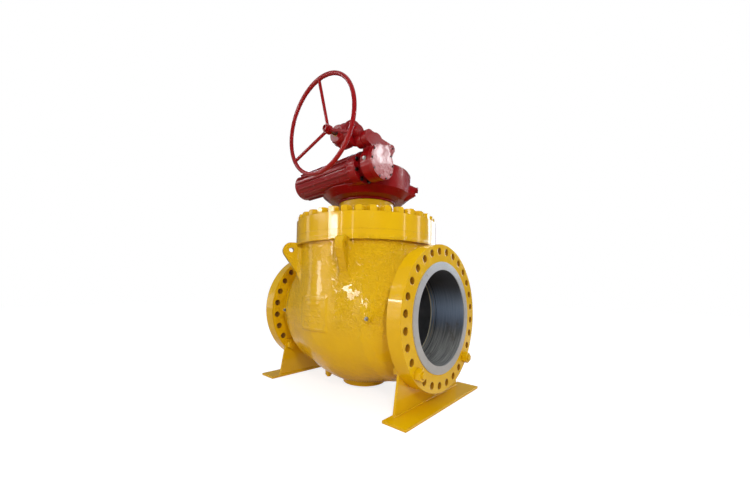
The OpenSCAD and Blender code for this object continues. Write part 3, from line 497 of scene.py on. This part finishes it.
FLOOR_Z = -0.665
FLANGE_BACK = 0.70475
SKIN_GROWTH = 0.0022
BARREL_R = 0.620
BARREL_Z = -0.020
TOP_FLANGE_Z = 0.588
TOP_FILLET = 0.042
NECK_FILLET = 0.022
NECK_LENGTH = 0.85
NECK_PROFILE_X = [0.0, 0.455, 0.520, 0.640, NECK_LENGTH]
NECK_PROFILE_R = [0.552, 0.552, 0.528, 0.430, 0.430]
NECK_EASE = 40
SHOULDER_BLEND = 0.11
PAD_AT = (0.0, -0.62, 0.005)
PAD_HALF = (0.150, 0.06, 0.132)
PAD_FACE_R = 0.631
BOSS_X, BOSS_Y, BOSS_R, BOSS_HALF = 0.512, 0.45, 0.024, 0.0880
DRAIN_TURN, DRAIN_OUT, DRAIN_R, DRAIN_Z, DRAIN_HALF = -130, 0.332, 0.030, -0.50, 0.088
LUG_TURNS = (-62.5, -117.5, 62.5, 117.5)
LUG_HALF = 0.032
LUG_REACH = 0.644
TRUNNION_OPENING_R = 0.17
SKIN_TOP = 0.600


def smooth_min(a, b, k):
    h = np.maximum(k - np.abs(a - b), 0.0) / k
    return np.minimum(a, b) - h * h * k * 0.25


def neck_radius(ax):
    """Radius of the neck against the distance along the pipe, with its corners eased."""
    grid = np.linspace(0.0, NECK_LENGTH, 851)
    plain = np.interp(grid, NECK_PROFILE_X, NECK_PROFILE_R)
    reach = np.arange(-NECK_EASE, NECK_EASE + 1)
    kernel = np.exp(-(reach / 16.0) ** 2)
    kernel /= kernel.sum()
    eased = np.convolve(np.pad(plain, NECK_EASE, mode="edge"), kernel, mode="valid")
    into = np.clip(grid - (FLANGE_BACK - NECK_FILLET), 0.0, NECK_FILLET)
    eased += NECK_FILLET - np.sqrt(np.maximum(NECK_FILLET * NECK_FILLET - into * into, 0.0))
    return np.interp(ax, grid, eased)


def barrel_radius(z):
    """The barrel flares with a small fillet into the underside of the top flange."""
    into = np.clip(z - (TOP_FLANGE_Z - TOP_FILLET), 0.0, TOP_FILLET)
    return BARREL_R + TOP_FILLET - np.sqrt(np.maximum(TOP_FILLET * TOP_FILLET - into * into, 0.0))


def box_distance(a, b, c, half):
    q = np.stack([np.abs(a) - half[0], np.abs(b) - half[1], np.abs(c) - half[2]])
    outside = np.sqrt((np.maximum(q, 0.0) ** 2).sum(0))
    return outside + np.minimum(q.max(0), 0.0)


def casting(p):
    """Signed distance to the outer casting."""
    x, y, z = p
    rxy = np.sqrt(x * x + y * y)
    low = np.minimum(z - BARREL_Z, 0.0)
    barrel = np.sqrt(rxy * rxy + low * low) - barrel_radius(z)
    neck = (np.sqrt(y * y + z * z) - neck_radius(np.abs(x))) * 0.85
    d = smooth_min(barrel, neck, SHOULDER_BLEND)
    pad = box_distance(x - PAD_AT[0], y - PAD_AT[1], z - PAD_AT[2], PAD_HALF)
    d = smooth_min(d, np.maximum(pad, rxy - PAD_FACE_R), 0.012)
    for sx in (-1, 1):
        for sy in (-1, 1):
            boss = np.sqrt((x - sx * BOSS_X) ** 2 + z * z) - BOSS_R
            boss = np.maximum(boss, np.abs(y - sy * BOSS_Y) - BOSS_HALF)
            d = smooth_min(d, boss, 0.022)
    turn = math.radians(DRAIN_TURN)
    drain_x, drain_y = DRAIN_OUT * math.cos(turn), DRAIN_OUT * math.sin(turn)
    drain = np.sqrt((x - drain_x) ** 2 + (y - drain_y) ** 2) - DRAIN_R
    d = smooth_min(d, np.maximum(drain, np.abs(z - DRAIN_Z) - DRAIN_HALF), 0.02)
    for a in LUG_TURNS:
        ca, sa = math.cos(math.radians(a)), math.sin(math.radians(a))
        out, side = x * ca + y * sa, -x * sa + y * ca
        edge = (out - 0.620) * 0.8147 - (z - 0.290) * 0.580
        lug = np.maximum(np.maximum(np.abs(side) - LUG_HALF, out - LUG_REACH), np.maximum(edge, z - SKIN_TOP))
        lug = np.where(out > 0.3, lug, 1.0)
        d = smooth_min(d, lug, 0.05)
    return d


def make_skin():
    rows, columns = ((250, 640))
    theta = np.linspace(math.radians(30.4), math.radians(149.6), rows)
    phi = np.arange(columns) * 2 * math.pi / columns
    th, ph = np.meshgrid(theta, phi, indexing="ij")
    ray = np.stack([np.cos(th), np.sin(th) * np.cos(ph), np.sin(th) * np.sin(ph)]).reshape(3, -1)
    t_in = np.full(ray.shape[1], 0.47)
    t_out = t_in.copy()
    found = np.zeros(ray.shape[1], bool)
    for t in np.arange(0.48, 1.0, 0.012):
        d = casting(ray * t)
        hit = (d > 0) & ~found
        t_out[hit] = t
        found |= hit
        t_in[~found] = t
    t_out[~found] = 1.0
    for _ in range(12):
        mid = (t_in + t_out) / 2
        out = casting(ray * mid) > 0
        t_out = np.where(out, mid, t_out)
        t_in = np.where(out, t_in, mid)
    p = ray * t_out
    wave = np.empty(p.shape[1])
    for i in range(p.shape[1]):
        v = Vector(p[:, i])
        wave[i] = (0.00085 * noise.noise(v * 9.0) + 0.00055 * noise.noise(v * 24.0)
                   + 0.0002 * noise.noise(v * 55.0))
    p = ray * (t_out + (SKIN_GROWTH + np.clip(wave, -0.0012, 0.002)) / 0.9)
    x, y, z = p
    rxy = np.sqrt(x * x + y * y)
    keep = (np.abs(x) < FLANGE_BACK + 0.016) & (z < SKIN_TOP) & found
    keep &= ~((rxy < TRUNNION_OPENING_R) & (z < 0))
    index = np.arange(rows * columns).reshape(rows, columns)
    a, b = index[:-1], index[1:]
    quads = np.stack([a, b, np.roll(b, -1, 1), np.roll(a, -1, 1)], -1).reshape(-1, 4)
    quads = quads[keep[quads].all(1)]
    used = np.unique(quads)
    renumber = np.zeros(rows * columns, int)
    renumber[used] = np.arange(len(used))
    new_piece("body_cast_skin", p.T[used].tolist(), renumber[quads].tolist(), YELLOW_CAST,
              "valve_body")


make_skin()


# ---------------------------------------------------------------- small pieces

WELD_SIDES = 8
WELD_PITCH = 0.008


def weld_bead(name, points, radius, ripple, body):
    """Round bead along a line of points, with its radius rippled."""
    verts, faces, run = [], [], 0.0
    last = len(points) - 1
    for i, p in enumerate(points):
        if i:
            run += (p - points[i - 1]).length
        along = (points[min(i + 1, last)] - points[max(i - 1, 0)]).normalized()
        side = along.cross(Vector((0, 0, 1))).normalized()
        rise = side.cross(along).normalized()
        r = radius * (1.0 + ripple * abs(math.sin(math.pi * run / WELD_PITCH)))
        r *= 1.0 + 0.5 * ripple * noise.noise(p * 60.0)
        for k in range(WELD_SIDES):
            a = 2 * math.pi * k / WELD_SIDES
            verts.append(p + side * (r * math.cos(a)) + rise * (r * math.sin(a)))
    for i in range(last):
        for k in range(WELD_SIDES):
            m = (k + 1) % WELD_SIDES
            faces.append((i * WELD_SIDES + k, i * WELD_SIDES + m,
                          (i + 1) * WELD_SIDES + m, (i + 1) * WELD_SIDES + k))
    faces.append(tuple(range(WELD_SIDES))[::-1])
    faces.append(tuple(last * WELD_SIDES + k for k in range(WELD_SIDES)))
    return new_piece(name, verts, faces, YELLOW_PLATE, body)


def line_points(a, b, step=0.0025):
    a, b = Vector(a), Vector(b)
    n = max(2, int((b - a).length / step))
    return [a.lerp(b, i / n) for i in range(n + 1)]


FOOT_TOP = FLOOR_Z + 0.018
WEB_HALF = 0.465
WEB_T = 0.018
for side_name, sign in (("front", 1), ("rear", -1)):
    for face_name, x in (("inner", FLANGE_BACK - WEB_T), ("outer", FLANGE_BACK)):
        weld_bead(f"{side_name}_support_weld_{face_name}",
                  line_points((sign * x, -WEB_HALF, FOOT_TOP), (sign * x, WEB_HALF, FOOT_TOP)),
                  0.0055, 0.35, "valve_body")


def lathe(name, origin, axis, profile, material, body, segments=48):
    """Turned piece: profile is a list of (distance along axis, radius)."""
    axis = Vector(axis).normalized()
    u = axis.orthogonal().normalized()
    v = axis.cross(u)
    verts, faces = [], []
    for h, r in profile:
        for k in range(segments):
            a = 2 * math.pi * k / segments
            verts.append(Vector(origin) + axis * h + u * (r * math.cos(a)) + v * (r * math.sin(a)))
    for i in range(len(profile) - 1):
        for k in range(segments):
            m = (k + 1) % segments
            faces.append((i * segments + k, i * segments + m,
                          (i + 1) * segments + m, (i + 1) * segments + k))
    faces.append(tuple(range(segments))[::-1])
    faces.append(tuple((len(profile) - 1) * segments + k for k in range(segments)))
    piece = new_piece(name, verts, faces, material, body)
    piece.data.set_sharp_from_angle(angle=math.radians(35))
    return piece


def join_pieces(name, pieces):
    """Merges several pieces into one mesh and keeps the first one's body and slot."""
    first = pieces[0]
    bm = bmesh.new()
    for piece in pieces:
        bm.from_mesh(piece.data)
    bm.to_mesh(first.data)
    bm.free()
    for piece in pieces[1:]:
        bpy.data.objects.remove(piece)
    first.name = name
    first.data.name = name
    return first


def thread_profile(length, radius, pitch, depth):
    """Rounded thread crests with a chamfered tip."""
    rows = [(-0.002, radius - depth)]
    turns = int((length - 0.004) / pitch)
    for i in range(turns):
        for part, share in ((0.0, 0.0), (0.3, 1.0), (0.5, 1.0), (0.8, 0.0)):
            rows.append((i * pitch + part * pitch, radius - depth * (1.0 - share)))
    rows.append((turns * pitch, radius - depth))
    rows.append((length - 0.002, radius - depth))
    rows.append((length, radius - depth - 0.002))
    return rows


def stud_tips(name, places, axis, radius, length, material, body, grow=0.0006):
    """Thread turns that show on the ends of the studs, one ring of crests per stud."""
    profile = thread_profile(length, radius + grow, 0.004, 0.0010)
    return join_pieces(name, [lathe(f"{name}_{i}", p, axis, profile, material, body, 32)
                              for i, p in enumerate(places)])


# rating plate on the curved pad: a raised border and blank raised bars, with no lettering
PAD_R = 0.6332
PAD_MID_Z = 0.005


def curved_bar(x0, x1, z0, z1, thick, steps=10):
    """Raised bar that follows the curve of the pad, with eased edges."""
    verts, faces = [], []
    ease = thick * 0.6
    for i in range(steps + 1):
        t = i / steps
        x = x0 + (x1 - x0) * t
        a = math.asin(x / PAD_R)
        end = thick * 0.5 if i in (0, steps) else thick
        rows = [(z0, -0.003), (z0, end * 0.5), (z0 + ease, end),
                (z1 - ease, end), (z1, end * 0.5), (z1, -0.003)]
        for z, h in rows:
            r = PAD_R + h
            verts.append((r * math.sin(a), -r * math.cos(a), PAD_MID_Z + z))
    n = 6
    for i in range(steps):
        for k in range(n - 1):
            faces.append((i * n + k, (i + 1) * n + k, (i + 1) * n + k + 1, i * n + k + 1))
    faces.append(tuple(range(n)))
    faces.append(tuple(steps * n + k for k in range(n))[::-1])
    return new_piece("bar", verts, faces, YELLOW_PLATE, "valve_body")


BORDER = 0.008
BORDER_RISE = 0.0028
BAR_RISE = 0.0024
PLATE_X, PLATE_TOP, PLATE_LOW = 0.138, 0.120, -0.120
bars = [curved_bar(-PLATE_X, PLATE_X, PLATE_TOP - BORDER, PLATE_TOP, BORDER_RISE, 24),
        curved_bar(-PLATE_X, PLATE_X, PLATE_LOW, PLATE_LOW + BORDER, BORDER_RISE, 24),
        curved_bar(-PLATE_X, BORDER - PLATE_X, -0.113, 0.113, BORDER_RISE, 2),
        curved_bar(PLATE_X - BORDER, PLATE_X, -0.113, 0.113, BORDER_RISE, 2)]
# height of the bar's lower edge, height of the bar, and its spans across the plate
BLANK_BARS = [
    (0.062, 0.034, ((-0.10, 0.095),)),
    (0.018, 0.016, ((-0.11, -0.03), (-0.01, 0.06), (0.075, 0.11))),
    (-0.026, 0.016, ((-0.11, 0.00), (0.02, 0.11))),
    (-0.070, 0.016, ((-0.11, -0.06), (-0.04, 0.05), (0.07, 0.11))),
]
for z, tall, spans in BLANK_BARS:
    for x0, x1 in spans:
        bars.append(curved_bar(x0, x1, z, z + tall, BAR_RISE))
join_pieces("rating_plate_relief", bars)

nut_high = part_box("bonnet_nuts")[1]
stud_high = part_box("bonnet_studs")[1]
BONNET_STUDS = 36
BONNET_TURN = 7.0
BONNET_PCR = 0.603
tips = []
for i in range(BONNET_STUDS):
    a = math.radians(BONNET_TURN + i * 360 / BONNET_STUDS)
    tips.append((BONNET_PCR * math.cos(a), BONNET_PCR * math.sin(a), nut_high.z))
if stud_high.z - nut_high.z > 0.001:
    stud_tips("bonnet_stud_threads", tips, (0, 0, 1), 0.027, stud_high.z - nut_high.z + 0.0006,
              YELLOW_NUT, "valve_body")

# oil plug on the side of the spur case
PLUG_X, PLUG_Z = 0.414, 1.214
lathe("oil_level_plug", (PLUG_X, -0.4835, PLUG_Z), (0, -1, 0),
      [(-0.004, 0.019), (0.004, 0.019), (0.005, 0.0175), (0.0055, 0.014), (0.013, 0.014), (0.0145, 0.012)],
      STEEL, "valve_body", 6)
lathe("oil_level_plug_boss", (PLUG_X, -0.4805, PLUG_Z), (0, -1, 0),
      [(-0.010, 0.025), (0.000, 0.024), (0.003, 0.0215)], RED_CAST, "valve_body", 40)


# ---------------------------------------------------------------- studio

def area(name, place, target, size, power, colour=(1, 1, 1)):
    data = bpy.data.lights.new(name, "AREA")
    data.shape = "RECTANGLE"
    data.size, data.size_y = size
    data.energy = power
    data.color = colour
    obj = bpy.data.objects.new(name, data)
    obj.location = place
    direction = Vector(target) - Vector(place)
    obj.rotation_euler = direction.to_track_quat("-Z", "Y").to_euler()
    bpy.context.scene.collection.objects.link(obj)
    return obj


def around(name, azimuth, distance, height, size, power, colour=(1, 1, 1), aim=0.35):
    """An area light that stands at an azimuth round the valve and faces it."""
    a = math.radians(azimuth)
    place = (distance * math.cos(a), distance * math.sin(a), height)
    return area(name, place, (0, 0, aim), size, power, colour)


# big soft lights give the even light; they leave no reflection of their own
around("soft_left", -104, 7.0, 2.6, (5.0, 3.0), 46, (1.0, 0.90, 0.74)).visible_glossy = False
around("soft_front", -48, 7.0, 2.2, (5.0, 3.2), 94).visible_glossy = False
around("soft_right", 35, 7.0, 2.4, (4.0, 3.0), 50).visible_glossy = False
# the hall's windows and lamps show in the gloss paint and give no even light
# name, azimuth in degrees, distance, height, size, watts, colour, height it aims at
WINDOWS = [
    ("window_pale", -114.5, 6.0, 1.0, (1.7, 2.5), 22, (1.0, 0.84, 0.74), 0.7),
    ("window_white", -102.5, 6.0, 1.75, (0.42, 1.4), 30, (1.0, 1.0, 1.0), 0.7),
    ("window_strip", -123, 6.0, 2.32, (2.6, 0.26), 52, (1.0, 1.0, 1.0), 0.2),
    ("window_edge", -147, 6.0, 1.2, (0.8, 3.0), 12, (0.95, 0.97, 1.0), 0.7),
    ("window_upper", -142, 6.0, 4.4, (2.6, 0.8), 50, (1.0, 1.0, 1.0), 0.35),
    ("window_spark", -95, 6.0, 1.75, (1.1, 0.6), 58, (1.0, 1.0, 1.0), 0.4),
    ("lamp_thin_a", -84, 6.0, 1.7, (0.14, 1.5), 8, (1.0, 1.0, 1.0), 0.7),
    ("lamp_thin_b", -67, 6.0, 2.0, (0.12, 1.5), 4, (1.0, 1.0, 1.0), 0.7),
    ("lamp_right_a", 10, 6.0, 1.9, (0.26, 1.6), 7, (1.0, 1.0, 1.0), 0.7),
    ("lamp_right_b", 38, 6.0, 1.9, (0.5, 1.8), 13, (1.0, 1.0, 1.0), 0.7),
    ("window_low", -125, 6.0, 0.55, (0.7, 0.7), 16, (1.0, 1.0, 1.0), 0.1),
    ("window_side", 68, 6.0, 1.8, (0.8, 2.2), 44, (0.74, 0.87, 1.0), 0.6),
    ("window_side", 81, 6.0, 1.8, (0.8, 2.2), 40, (0.74, 0.87, 1.0), 0.6),
    ("window_side", 94, 6.0, 1.8, (0.8, 2.2), 30, (0.74, 0.87, 1.0), 0.6),
    ("window_high", 45, 6.0, 3.95, (0.50, 0.50), 22, (0.97, 0.98, 1.0), 1.2),
    ("window_high", 50.5, 6.0, 3.75, (0.36, 0.80), 24, (0.97, 0.98, 1.0), 1.2),
    ("window_haze", 50, 6.0, 3.35, (2.2, 1.4), 9, (0.97, 0.98, 1.0), 1.2),
    ("window_far", 118, 6.0, 2.9, (1.4, 1.6), 60, (0.74, 0.87, 1.0), 1.0),
    ("window_back", 150, 6.0, 4.6, (3.0, 2.0), 130, (0.82, 0.90, 1.0), 1.2),
]
for *where, aim in WINDOWS:
    around(*where, aim=aim).visible_diffuse = False
area("roof", (0.4, -0.6, 5.6), (0, 0, 0), (4.6, 4.6), 22)
bore_fill = area("bore_fill", (2.7, -2.3, 1.5), (0.55, 0.30, -0.2), (0.25, 0.25), 30, (0.88, 0.94, 1.0))
bore_fill.visible_glossy = False

FLOOR_HALF = 14.0
FLOOR_LIGHT = 0.80
FLOOR_BOUNCE = (0.74, 0.60, 0.43)
floor_mesh = bpy.data.meshes.new("floor")
floor_mesh.from_pydata(
    [(x, y, FLOOR_Z) for x, y in ((-FLOOR_HALF, -FLOOR_HALF), (FLOOR_HALF, -FLOOR_HALF),
                                  (FLOOR_HALF, FLOOR_HALF), (-FLOOR_HALF, FLOOR_HALF))],
    [], [(0, 1, 2, 3)])
floor = bpy.data.objects.new("floor", floor_mesh)
bpy.context.scene.collection.objects.link(floor)
fg = Graph("pale_floor")
path = fg.tree.nodes.new("ShaderNodeLightPath").outputs
seen, mirrored = path["Is Camera Ray"], path["Is Glossy Ray"]
floor_colour = fg.mix(fg.noise(1.5, 3.0), (0.34, 0.34, 0.34), (0.38, 0.38, 0.38))
floor_colour = fg.mix(seen, FLOOR_BOUNCE, floor_colour)
sunlit = fg.math("MULTIPLY", fg.remap(fg.noise(0.8, 2.0), 0.50, 0.60), 0.35)
glow = fg.math("ADD", fg.math("MULTIPLY", seen, FLOOR_LIGHT), fg.math("MULTIPLY", mirrored, sunlit))
floor_mesh.materials.append(fg.finish(Base_Color=floor_colour, Roughness=0.7, Emission_Color=(1.0, 1.0, 1.0),
                                      Emission_Strength=glow))

# the hall is dimmer where it only shows as a reflection
HALL_LIGHT = 0.80
HALL_MIRRORED = 0.30
world = bpy.data.worlds.new("studio")
bpy.context.scene.world = world
world.use_nodes = True
wt = world.node_tree
wt.nodes.clear()
world_out = wt.nodes.new("ShaderNodeOutputWorld")
white = wt.nodes.new("ShaderNodeBackground")
white.inputs[0].default_value = (1, 1, 1, 1)
white.inputs[1].default_value = 1.0
hall = wt.nodes.new("ShaderNodeBackground")
coords = wt.nodes.new("ShaderNodeTexCoord")
split = wt.nodes.new("ShaderNodeSeparateXYZ")
wt.links.new(coords.outputs["Generated"], split.inputs[0])
ramp = wt.nodes.new("ShaderNodeValToRGB")
ramp.color_ramp.elements[0].position = 0.35
ramp.color_ramp.elements[0].color = (0.16, 0.14, 0.13, 1)
ramp.color_ramp.elements[1].position = 0.9
ramp.color_ramp.elements[1].color = (0.85, 0.88, 0.92, 1)
lift = wt.nodes.new("ShaderNodeMath")
lift.operation = "MULTIPLY_ADD"
lift.inputs[1].default_value = 0.5
lift.inputs[2].default_value = 0.5
wt.links.new(split.outputs[2], lift.inputs[0])
wt.links.new(lift.outputs[0], ramp.inputs[0])
wt.links.new(ramp.outputs[0], hall.inputs[0])
rays = wt.nodes.new("ShaderNodeLightPath")
dimmed = wt.nodes.new("ShaderNodeMath")
dimmed.operation = "MULTIPLY_ADD"
dimmed.inputs[1].default_value = HALL_MIRRORED - HALL_LIGHT
dimmed.inputs[2].default_value = HALL_LIGHT
wt.links.new(rays.outputs["Is Glossy Ray"], dimmed.inputs[0])
wt.links.new(dimmed.outputs[0], hall.inputs[1])
pick = wt.nodes.new("ShaderNodeMixShader")
wt.links.new(rays.outputs["Is Camera Ray"], pick.inputs[0])
wt.links.new(hall.outputs[0], pick.inputs[1])
wt.links.new(white.outputs[0], pick.inputs[2])
wt.links.new(pick.outputs[0], world_out.inputs[0])

# camera: seen from the front right, a little below the middle of the pipe
LENS_MM = 14.37552
LENS_SHIFT = (0.0085533, 0.0260840)
EYE = (1.93915, -2.13164, 0.23364)
YAW = math.radians(131.7285)
PITCH = math.radians(3.1333)
ROLL = math.radians(0.7942)
forward = Vector((math.cos(PITCH) * math.cos(YAW), math.cos(PITCH) * math.sin(YAW), math.sin(PITCH)))
right0 = Vector((math.cos(YAW - math.pi / 2), math.sin(YAW - math.pi / 2), 0))
up0 = right0.cross(forward)
right = math.cos(ROLL) * right0 + math.sin(ROLL) * up0
up = -math.sin(ROLL) * right0 + math.cos(ROLL) * up0
camera_data = bpy.data.cameras.new("camera")
camera_data.sensor_width = 36.0
camera_data.lens = LENS_MM
camera_data.shift_x, camera_data.shift_y = LENS_SHIFT
camera_data.clip_end = 60
camera = bpy.data.objects.new("camera", camera_data)
camera.matrix_world = Matrix((
    (right.x, up.x, -forward.x, EYE[0]),
    (right.y, up.y, -forward.y, EYE[1]),
    (right.z, up.z, -forward.z, EYE[2]),
    (0, 0, 0, 1)))
bpy.context.scene.collection.objects.link(camera)
bpy.context.scene.camera = camera
bpy.context.scene.view_settings.view_transform = "Standard"
